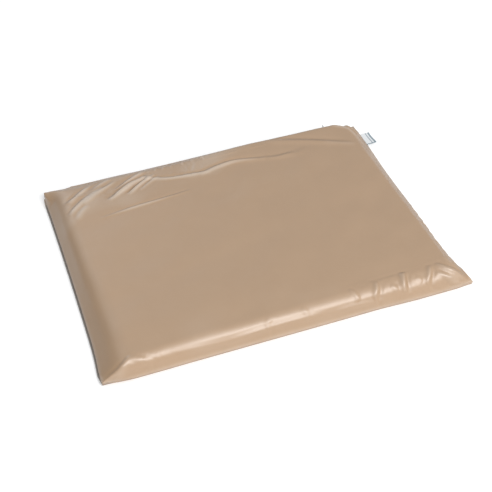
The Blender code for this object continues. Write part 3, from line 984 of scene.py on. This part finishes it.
def rounded_box(low, high, bevel, waist=0.0):
    """Points and faces of a box with rounded edges, a little slimmer at half height."""
    bm = bmesh.new()
    bmesh.ops.create_cube(bm, size=1.0)
    low, high = Vector(low), Vector(high)
    size = high - low
    for v in bm.verts:
        v.co = Vector(c * s for c, s in zip(v.co, size)) + (low + high) / 2
    if waist:
        upright = [e for e in bm.edges if abs(e.verts[0].co.z - e.verts[1].co.z) > size.z / 2]
        bmesh.ops.subdivide_edges(bm, edges=upright, cuts=3, use_grid_fill=True)
    bmesh.ops.bevel(
        bm,
        geom=[e for e in bm.edges if len(e.link_faces) == 2 and e.calc_face_angle() > 1.0],
        offset=bevel,
        segments=3,
        profile=0.5,
        affect="EDGES",
    )
    middle = (low.z + high.z) / 2
    for v in bm.verts:
        near = 1 - min(1.0, abs(v.co.z - middle) / (size.z / 3))
        v.co.y -= waist * near * (v.co.y > (low.y + high.y) / 2)
    return taken_from(bm)


def metal_piece(name, parts):
    """A zinc piece, shaded smooth except at its sharp edges."""
    obj = joined(name, parts, zinc)
    bm = bmesh.new()
    bm.from_mesh(obj.data)
    for edge in bm.edges:
        edge.smooth = len(edge.link_faces) == 2 and edge.calc_face_angle(0.0) < SHARP
    bm.to_mesh(obj.data)
    bm.free()
    return obj


def squared(turn, power):
    """A cosine pushed towards a square wave, for sections with flattened sides."""
    return np.sign(np.cos(turn)) * np.abs(np.cos(turn)) ** power


def smooth_loop(points):
    """A finer closed outline through the same points."""
    return [tuple(p) for p in refine_line(np.array(points + points[:1]), 3)[:-1]]


def zip_tape(name, low, high, inner_edge):
    """A woven tape, with a thicker cord woven into the edge that carries the coil."""
    turn = 2 * math.pi * np.arange(12) / 12
    section_z = (low.z + high.z) / 2 + squared(turn, 0.35) * (high.z - low.z) / 2
    cord = 1.0 - 0.25 * ramp(np.abs(section_z - inner_edge), 0.0008, 0.0016)
    section_y = (high.y + low.y) / 2 + (high.y - low.y) / 2 * cord * np.sin(turn)
    rings = []
    for x in np.linspace(low.x - TAPE_END, high.x + TAPE_END, 261):
        behind = ramp(abs(x), high.x - 0.005, high.x + TAPE_END)
        sway = 0.00010 * math.sin(x * 90.0) + 0.00006 * math.sin(x * 233.0 + 1.0) - TAPE_TUCK * behind
        taper = TAPE_TAPER * behind if inner_edge > ZIP_HEIGHT else 0.0
        closing = (inner_edge - ZIP_HEIGHT) * TAPE_MEETING * ramp(abs(x), high.x, high.x + 0.004)
        z = inner_edge + (section_z - inner_edge) * (1 - taper) - closing
        rings.append(np.stack((np.full(12, x), section_y + sway, z), axis=1).tolist())
    return joined(name, [loft(rings)], tape_weave)


def zip_coil(name, low, high, head_down, start):
    """One half of the zip's coil: a nylon wire wound in flattened turns."""
    turns = (high.x - low.x - 2 * COIL_WIRE - start) / COIL_PITCH
    t = np.linspace(0, turns, round(turns * COIL_TURN))
    angle = 2 * math.pi * t
    head = ZIP_HEIGHT - COIL_REACH if head_down else ZIP_HEIGHT + COIL_REACH
    back = high.z if head_down else low.z
    x = low.x + COIL_WIRE + start + COIL_PITCH * t
    y = (low.y + high.y) / 2 + ((high.y - low.y) / 2 - COIL_WIRE) * np.sin(angle)
    z = (head + back) / 2 + (abs(back - head) / 2 - COIL_WIRE) * squared(angle, 0.7)
    radii = np.full(len(t), COIL_WIRE)
    return joined(name, [tube(np.stack((x, y, z), axis=1), radii, 6, (1.0, 0.0, 0.0))], coil_nylon)


def face_line(rows, level):
    """Where a panel's back face crosses a level: (x, y) along the zip. rows is an array
    of its points, one column of points for each place along the zip."""
    spots = []
    for column in rows:
        order = np.argsort(column[:, 2])
        spots.append((column[0, 0], np.interp(level, column[order, 2], column[order, 1])))
    return np.array(sorted(spots))


def stitch_row(name, line, level, low_x, high_x):
    """A row of stitches along a line of (x, y) points, each drawn down at its ends."""
    bow = np.array([-0.00022, 0.00004, 0.00010, 0.00004, -0.00022])
    parts = []
    for x in np.arange(low_x, high_x - STITCH, STITCH + STITCH_GAP):
        places = np.linspace(x, x + STITCH, len(bow))
        ys = np.interp(places, line[:, 0], line[:, 1])
        parts.append(rod(np.stack((places, ys + bow, np.full(len(bow), level)), axis=1), 6))
    return joined(name, parts, thread_finish)


def seam_stitches(rim, sewn):
    """Stitches in the groove between the panels, wherever they are sewn together."""
    loop = rim + inward(rim) * SEAM_STITCH_INSET
    loop[:, 2] = SEAM_MIDDLE
    far = np.concatenate(([0.0], np.cumsum(np.linalg.norm(np.diff(loop, axis=0), axis=1))))
    parts = []
    for at in np.arange(0.0, far[-1] - STITCH, STITCH + STITCH_GAP):
        places = np.linspace(at, at + STITCH, 4)
        if np.interp(places, far, sewn).min() > 0.98:
            parts.append(rod(np.stack([np.interp(places, far, axis) for axis in loop.T], axis=1), 5))
    return joined("seam_stitches", parts, thread_finish)


def shield(length, wide, narrow, centre_x):
    """A slider plate's outline, broad at the closing end and rounded all round."""
    ends = [(-0.50, narrow * 0.72), (-0.44, narrow * 0.92), (-0.33, narrow), (-0.05, narrow * 1.02)]
    ends += [(0.15, (wide + narrow) / 2), (0.30, wide * 0.99), (0.42, wide * 0.97), (0.49, wide * 0.80)]
    upper = [(centre_x + u * length, ZIP_HEIGHT + v / 2) for u, v in ends]
    lower = [(x, 2 * ZIP_HEIGHT - z) for x, z in reversed(upper)]
    return smooth_loop(upper + [(centre_x + 0.50 * length, ZIP_HEIGHT)] + lower)


def zip_slider_piece():
    middle_x = (slider_low.x + slider_high.x) / 2
    half_z = (slider_high.z - slider_low.z) / 2
    length = slider_high.x - slider_low.x
    outline = shield(length, 2 * half_z, 2 * half_z * 0.80, middle_x)
    outer_y = slider_high.y - 0.0035
    inner_y = slider_low.y + PLATE / 2
    parts = [plate([outline], PLATE, 0.00028, lambda u, v, w: (u, y + w, v)) for y in (outer_y, inner_y)]
    for side in (-1, 1):
        wall = ZIP_HEIGHT + side * half_z * 0.86
        low = (middle_x - 0.44 * length, WALL_INNER, wall - 0.00035)
        high = (middle_x + 0.02 * length, outer_y, wall + 0.00035)
        parts.append(rounded_box(low, high, 0.0002))
    # the bridge that holds the pull tab
    t = np.linspace(-1, 1, 17)
    rise = slider_high.y - outer_y - BRIDGE_THICK
    path = np.stack((middle_x + BRIDGE_REACH * t, outer_y + rise * (1 - np.abs(t) ** 3.2)), axis=1)
    way = unit(np.gradient(path, axis=0))
    turn = 2 * math.pi * np.arange(12) / 12
    deep = squared(turn - math.pi / 2, 0.6) * BRIDGE_THICK
    wide = squared(turn, 0.5) * (0.0009 * (1 + 0.45 * np.abs(t) ** 3))[:, None]
    x = path[:, :1] - way[:, 1:] * deep
    y = path[:, 1:] + way[:, :1] * deep
    parts.append(loft(np.stack((x, y, ZIP_HEIGHT + wide), axis=2).tolist()))
    return metal_piece("zip_slider_body", parts)


def pull_tab_piece():
    """The pull tab: an eye round the slider's bridge, a waist and a broad grip with a hole."""
    low_y = tab_low.y
    length = tab_high.y - low_y
    half = (tab_high.z - tab_low.z) / 2
    middle_x = (tab_low.x + tab_high.x) / 2
    sides = [(0.0, 0.72), (0.02, 0.90), (0.06, 0.99), (0.16, 1.0), (0.24, 0.93), (0.32, 0.72)]
    sides += [(0.40, 0.62), (0.50, 0.64), (0.62, 0.78), (0.76, 0.94), (0.87, 1.0), (0.94, 0.92)]
    sides += [(0.98, 0.68), (1.0, 0.35)]
    upper = [(low_y + u * length, ZIP_HEIGHT + v * half) for u, v in sides]
    lower = [(y, 2 * ZIP_HEIGHT - z) for y, z in reversed(upper)]
    eye = rounded_loop(low_y + 0.0010, low_y + 0.0046, ZIP_HEIGHT - 0.0014, ZIP_HEIGHT + 0.0014, 0.0006)
    hole = [
        (low_y + 0.84 * length + TAB_HOLE * math.cos(t), ZIP_HEIGHT + TAB_HOLE * math.sin(t))
        for t in np.linspace(0, 2 * math.pi, 25)[:-1]
    ]
    outlines = [smooth_loop(upper + lower), eye, hole]
    thick = tab_high.x - tab_low.x
    return metal_piece("zip_pull", [plate(outlines, thick, 0.00022, lambda u, v, w: (middle_x + w, u, v))])


def rounded_loop(u0, u1, v0, v1, radius):
    """A rectangle of (u, v) points with rounded corners."""
    loop = []
    corners = ((u1, v1, 0.0), (u0, v1, 0.5), (u0, v0, 1.0), (u1, v0, 1.5))
    for u, v, first in corners:
        cu = u - radius if u == u1 else u + radius
        cv = v - radius if v == v1 else v + radius
        for step in range(5):
            turn = math.pi * (first + step / 8)
            loop.append((cu + radius * math.cos(turn), cv + radius * math.sin(turn)))
    return loop


def zip_pieces():
    halves = (("upper", True), ("lower", False))
    for name, is_upper in halves:
        low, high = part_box(f"zip_tape_{name}")
        tape = zip_tape(f"zip_tape_{name}_ribbon", low, high, low.z if is_upper else high.z)
        place(tape, "cushion", "zip_tape", f"zip_tape_{name}")
    for name, is_upper in halves:
        low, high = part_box(f"zip_coil_{name}")
        coil = zip_coil(f"zip_coil_{name}_turns", low, high, is_upper, 0.0 if is_upper else COIL_PITCH / 2)
        place(coil, "cushion", "zip_coil", f"zip_coil_{name}")
    for node in ("zip_bottom_stop", "zip_top_stop_upper", "zip_top_stop_lower"):
        stop = metal_piece(f"{node}_crimp", [rounded_box(*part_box(node), 0.00045, 0.0003)])
        place(stop, "cushion", "zip_metal", node)
    place(zip_slider_piece(), "zip_slider", "zip_metal", "zip_slider")
    place(pull_tab_piece(), "zip_pull", "zip_metal", "zip_pull_tab")


def zip_stitching(grid):
    """Rows of stitches that hold the tapes to the cover's back face."""
    for name in ("upper", "lower"):
        low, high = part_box(f"zip_stitching_{name}")
        level = (low.z + high.z) / 2
        if name == "upper":
            line = face_line(grid[:, -8:], level)
        else:
            line = np.array([(low.x, ZIP_PLANE - 0.0002), (high.x, ZIP_PLANE - 0.0002)])
        row = stitch_row(f"zip_stitches_{name}", line, level, low.x, high.x)
        place(row, "cushion", "thread", f"zip_stitching_{name}")


# The label: a woven ribbon, folded over and sewn into the right seam


LABEL_THICK = 0.0003
LABEL_GAP = 0.0003  # between the two layers
LABEL_TUCK = 0.0004  # from the seam to where the label shows


def label_material():
    colour = (0.78, 0.81, 0.83)
    n = Nodes("label_satin", colour, 0.42, Sheen_Weight=0.15)
    weave = n.times(n.stripes(1300.0, "Y"), n.stripes(1100.0, "X"))
    ground = n.mix(weave, shade(colour, 0.90), shade(colour, 1.04))
    n.colour(n.mix(n.attribute("mark"), ground, (0.20, 0.26, 0.30)))
    n.surface(weave, 0.00006, 0.7)
    return n.material


def label_piece():
    """Two layers joined by a fold at the tip, with plain woven bars and a border."""
    low_y, high_y = label_low.y + 0.0030, label_high.y + 0.0030
    root = label_low.x + LABEL_TUCK
    tip = label_high.x + 0.0018
    middle = (label_low.z + label_high.z) / 2
    layer = (LABEL_GAP + LABEL_THICK) / 2
    flat = np.linspace(root, tip - layer, 46)
    turn = np.linspace(math.pi / 2, -math.pi / 2, 9)[1:-1]
    section_x = np.concatenate((flat, tip - layer + layer * np.cos(turn), flat[::-1]))
    section_z = np.concatenate((0 * flat + layer, layer * np.sin(turn), 0 * flat - layer))
    out = (section_x - root) / (tip - root)
    y = np.linspace(low_y, high_y, 67)[:, None]
    v = (y - low_y) / (high_y - low_y)
    curl = 0.0014 * out**2 * (0.6 + 0.4 * np.cos(v * 5.0)) + 0.0004 * out * np.sin(v * 7.0)
    x = section_x - 0.0006 * v * out
    points = np.stack((x, y + 0.0010 * (v - 0.5) * out, middle + section_z + curl), axis=-1)
    bars = 0.9 * ramp(out, 0.80, 0.82) + 0.7 * ramp(out, 0.56, 0.58) * ramp(-out, -0.69, -0.67)
    inside = ramp(v, 0.01, 0.02) * ramp(-v, -0.99, -0.98)
    border_line = 0.95 * ramp(v, 0.004, 0.014) * ramp(-v, -0.085, -0.07)
    marks = np.clip(bars * inside + border_line, 0, 1)
    faces = grid_faces(numbered(*marks.shape).T)
    label = mesh_object("label_ribbon_fold", points.reshape(-1, 3), faces, label_material())
    add_attribute(label, "mark", marks.ravel())
    thicken(label, LABEL_THICK, 0.0)
    place(label, "cushion", "label_ribbon", "sewn_label")


# Making the pieces

flat_grid, share = cover_grid()
grid, _ = folded(flat_grid, BROAD_FOLDS, share * 3)
held = np.zeros(share.shape, bool)
held[[0, -1], :] = True
held[:, [0, -1, -2]] = True
grid = settle(grid, flat_grid, cut_shape(flat_grid), held)
share = refine(share[..., None], FINER)[..., 0]
grid, crease_sheen = crease(refine(grid, FINER), share)
top_cloth, rim, sewn = cover_top(grid, share, crease_sheen)
place(top_cloth, "cushion", "cover_cloth", "cover_top_panel")
bottom_cloth = cover_bottom(rim, sewn)
place(bottom_cloth, "cushion", "cover_cloth", "cover_bottom_panel")
foam = foam_slab()
place(foam, "cushion", "foam", "foam_core")
zip_pieces()
zip_stitching(grid)
place(seam_stitches(rim, sewn), "cushion", "thread", "seam_thread")
label_piece()

# Stage


FLOOR_HALF = 6.0
CAMERA_AZIMUTH = math.radians(-20.13)
CAMERA_ELEVATION = math.radians(43.46)
CAMERA_DISTANCE = 1.5366
CAMERA_AIM = Vector((-0.0073, -0.0158, 0.0))
LIGHT_DISTANCE = 6.0


def studio():
    corners = [(x * FLOOR_HALF, y * FLOOR_HALF, -GAP) for x, y in ((-1, -1), (1, -1), (1, 1), (-1, 1))]
    mesh_object("floor", corners, [(0, 1, 2, 3)], floor_paint())
    world = bpy.data.worlds.new("studio")
    world.use_nodes = True
    tree = world.node_tree
    sky = tree.nodes["Background"]
    spot = tree.nodes.new("ShaderNodeTexCoord")
    split = tree.nodes.new("ShaderNodeSeparateXYZ")
    product = assign(tree.nodes.new("ShaderNodeMath"), operation="MULTIPLY")
    tree.links.new(spot.outputs["Generated"], split.inputs["Vector"])
    # brighter towards the right and overhead
    for i, (axis, start, low, high) in enumerate((("X", -1.0, 0.38, 0.80), ("Z", 0.0, 0.50, 1.35))):
        slope = tree.nodes.new("ShaderNodeMapRange")
        for name, value in (("From Min", start), ("To Min", low), ("To Max", high)):
            slope.inputs[name].default_value = value
        tree.links.new(split.outputs[axis], slope.inputs["Value"])
        tree.links.new(slope.outputs["Result"], product.inputs[i])
    tree.links.new(product.outputs[0], sky.inputs["Strength"])
    sky.inputs["Color"].default_value = (0.97, 0.985, 1.0, 1.0)
    bpy.context.scene.world = world
    bpy.context.scene.view_settings.view_transform = "Standard"
    softbox("key_softbox", (0.27, -0.73, 0.63), 3.2, 2.8, 270.0, (1.0, 0.99, 0.98))
    softbox("back_softbox", (-0.15, 0.88, 0.45), 3.0, 1.2, 42.0, (0.92, 0.96, 1.0))


def floor_paint():
    n = Nodes("floor_paint", (0.93, 0.93, 0.93), 0.8)
    n.colour(n.mix(n.noise(3.0), (0.925, 0.925, 0.925), (0.945, 0.945, 0.945)))
    n.set(n.shader, Emission_Color=(1.0, 1.0, 1.0, 1.0), Emission_Strength=0.15)
    return n.material


def aimed(obj, aim, way, distance):
    """Puts a light or camera at a distance from a point, looking back at it."""
    obj.location = aim + way * distance
    obj.rotation_euler = way.to_track_quat("Z", "Y").to_euler()
    return obj


def softbox(name, way, width, height, power, colour):
    data = bpy.data.lights.new(name, "AREA")
    assign(data, shape="RECTANGLE", size=width, size_y=height, energy=power, color=colour)
    aimed(link(name, data), Vector(), Vector(way).normalized(), LIGHT_DISTANCE)


def camera():
    level = math.cos(CAMERA_ELEVATION)
    side, back = math.sin(CAMERA_AZIMUTH) * level, -math.cos(CAMERA_AZIMUTH) * level
    way = Vector((side, back, math.sin(CAMERA_ELEVATION)))
    data = assign(bpy.data.cameras.new("camera"), lens=67.21, sensor_width=36.0)
    bpy.context.scene.camera = aimed(link("camera", data), CAMERA_AIM, way, CAMERA_DISTANCE)


studio()
camera()
